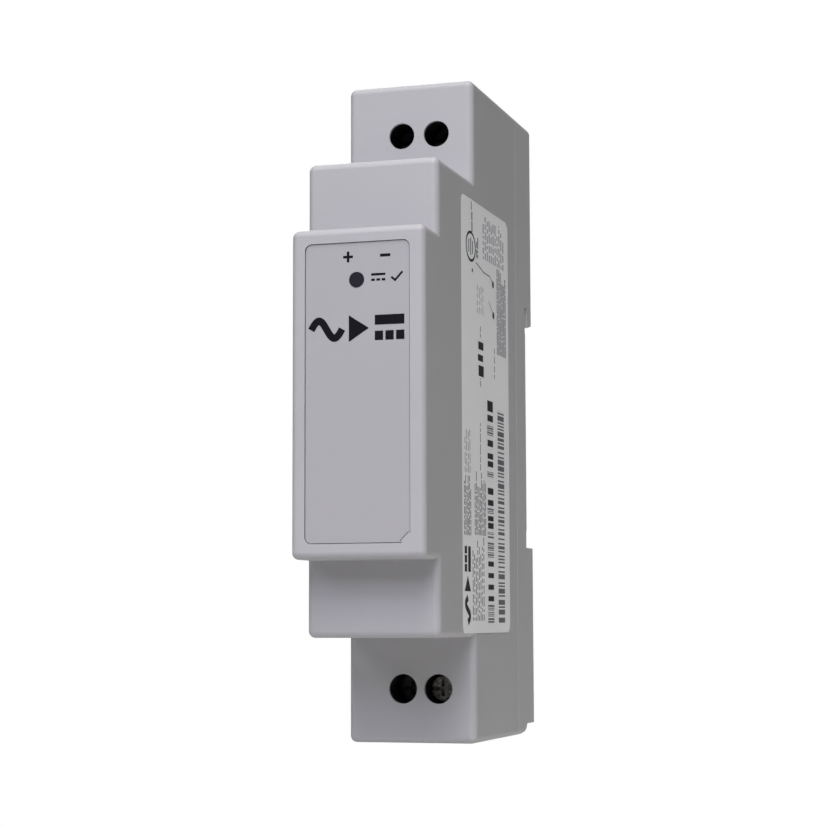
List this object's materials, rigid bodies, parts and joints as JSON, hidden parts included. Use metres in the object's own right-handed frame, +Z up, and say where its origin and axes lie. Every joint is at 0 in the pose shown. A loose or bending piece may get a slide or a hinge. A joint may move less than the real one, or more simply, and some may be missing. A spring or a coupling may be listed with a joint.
{
  "type": "din rail power supply",
  "caption": "Slim stepped power supply that clips to a top-hat rail, with sprung foot latch, screw clamps at both ends, status window and a fully built inside.",
  "frame": {"origin": "on the rail seat, at mid width and at the middle height of the rail", "axes": "+X along the rail to the right, +Y from the front towards the rail, +Z up"},
  "size_m": [0.018, 0.0556, 0.091],
  "materials": {
    "case_plastic": "fine matte",
    "base_plastic": "fine matte",
    "latch_plastic": "fine matte",
    "front_film": "smooth matte film",
    "side_film": "satin film",
    "smoked_window": "polished",
    "clear_plastic": "polished",
    "led_epoxy": "polished",
    "board_laminate": "solder mask",
    "insulation_film": "satin",
    "solder": "bright",
    "black_moulding": "moulded",
    "terminal_plastic": "moulded",
    "contact_metal": "stamped",
    "screw_steel": "zinc plated",
    "plate_steel": "zinc plated",
    "spring_steel": "drawn wire",
    "fuse_plastic": "moulded",
    "thermistor_coat": "dipped",
    "varistor_coat": "dipped",
    "filter_box": "moulded",
    "ferrite": "ground",
    "copper_wire": "enamelled",
    "capacitor_sleeve": "shrink sleeve",
    "winding_tape": "taped winding",
    "yellow_tape": "tape",
    "bypass_coat": "dipped",
    "white_moulding": "moulded",
    "blue_sleeve": "shrink sleeve",
    "resistor_coat": "lacquered"
  },
  "bodies": {
    "case": {"front_shell": "case_plastic", "rear_base": "base_plastic", "latch_spring": "spring_steel", "front_label": "front_film", "side_label": "side_film", "status_window": "smoked_window", "light_pipe": "clear_plastic", "status_led": "led_epoxy", "circuit_board": "board_laminate", "insulation_sheet": "insulation_film", "solder_joints": "solder", "chip_parts": "black_moulding", "output_terminal_block": "terminal_plastic", "input_terminal_block": "terminal_plastic", "output_contacts": "contact_metal", "input_contacts": "contact_metal", "fuse": "fuse_plastic", "inrush_thermistor": "thermistor_coat", "varistor": "varistor_coat", "line_filter_capacitor": "filter_box", "filter_choke_core": "ferrite", "filter_choke_windings": "copper_wire", "bridge_rectifier": "black_moulding", "bulk_capacitor_low": "capacitor_sleeve", "bulk_capacitor_high": "capacitor_sleeve", "transformer_core": "ferrite", "transformer_bobbin": "black_moulding", "transformer_winding": "winding_tape", "transformer_tape": "yellow_tape", "switching_controller": "black_moulding", "bypass_capacitor": "bypass_coat", "optocoupler": "white_moulding", "output_diode": "black_moulding", "output_capacitor_front": "blue_sleeve", "output_capacitor_rear": "blue_sleeve", "output_inductor": "ferrite", "resistors": "resistor_coat"},
    "latch": {"rail_latch": "latch_plastic"},
    "plus_plate": {"plus_clamp_plate": "plate_steel"},
    "plus_screw": {"plus_screw": "screw_steel"},
    "minus_plate": {"minus_clamp_plate": "plate_steel"},
    "minus_screw": {"minus_screw": "screw_steel"},
    "line_plate": {"line_clamp_plate": "plate_steel"},
    "line_screw": {"line_screw": "screw_steel"},
    "neutral_plate": {"neutral_clamp_plate": "plate_steel"},
    "neutral_screw": {"neutral_screw": "screw_steel"}
  },
  "joints": [
    {"name": "latch_slide", "type": "slide", "parent": "case", "child": "latch", "axis": [0, 0, -1], "range_m": [0, 0.003], "stiffness_N_per_m": 600, "springref_m": -0.002, "deforming": ["latch_spring"]},
    {"name": "plus_plate_slide", "type": "slide", "parent": "case", "child": "plus_plate", "axis": [0, -1, 0], "range_m": [0, 0.0027]},
    {"name": "plus_screw_turn", "type": "hinge", "parent": "plus_plate", "child": "plus_screw", "pos_m": [-0.00125, -0.02, 0.0382], "axis": [0, -1, 0], "range_deg": [0, 2161]},
    {"name": "minus_plate_slide", "type": "slide", "parent": "case", "child": "minus_plate", "axis": [0, -1, 0], "range_m": [0, 0.0027]},
    {"name": "minus_screw_turn", "type": "hinge", "parent": "minus_plate", "child": "minus_screw", "pos_m": [0.00375, -0.02, 0.0382], "axis": [0, -1, 0], "range_deg": [0, 2161]},
    {"name": "line_plate_slide", "type": "slide", "parent": "case", "child": "line_plate", "axis": [0, -1, 0], "range_m": [0, 0.0027]},
    {"name": "line_screw_turn", "type": "hinge", "parent": "line_plate", "child": "line_screw", "pos_m": [-0.00125, -0.02, -0.0382], "axis": [0, -1, 0], "range_deg": [0, 2161]},
    {"name": "neutral_plate_slide", "type": "slide", "parent": "case", "child": "neutral_plate", "axis": [0, -1, 0], "range_m": [-0.00225, 0.00045]},
    {"name": "neutral_screw_turn", "type": "hinge", "parent": "neutral_plate", "child": "neutral_screw", "pos_m": [0.00375, -0.02, -0.0382], "axis": [0, -1, 0], "range_deg": [-1801, 361]}
  ],
  "couplings": [
    {"joint": "plus_screw_turn", "follows": "plus_plate_slide", "rad_per_m": 13963},
    {"joint": "minus_screw_turn", "follows": "minus_plate_slide", "rad_per_m": 13963},
    {"joint": "line_screw_turn", "follows": "line_plate_slide", "rad_per_m": 13963},
    {"joint": "neutral_screw_turn", "follows": "neutral_plate_slide", "rad_per_m": 13963}
  ]
}
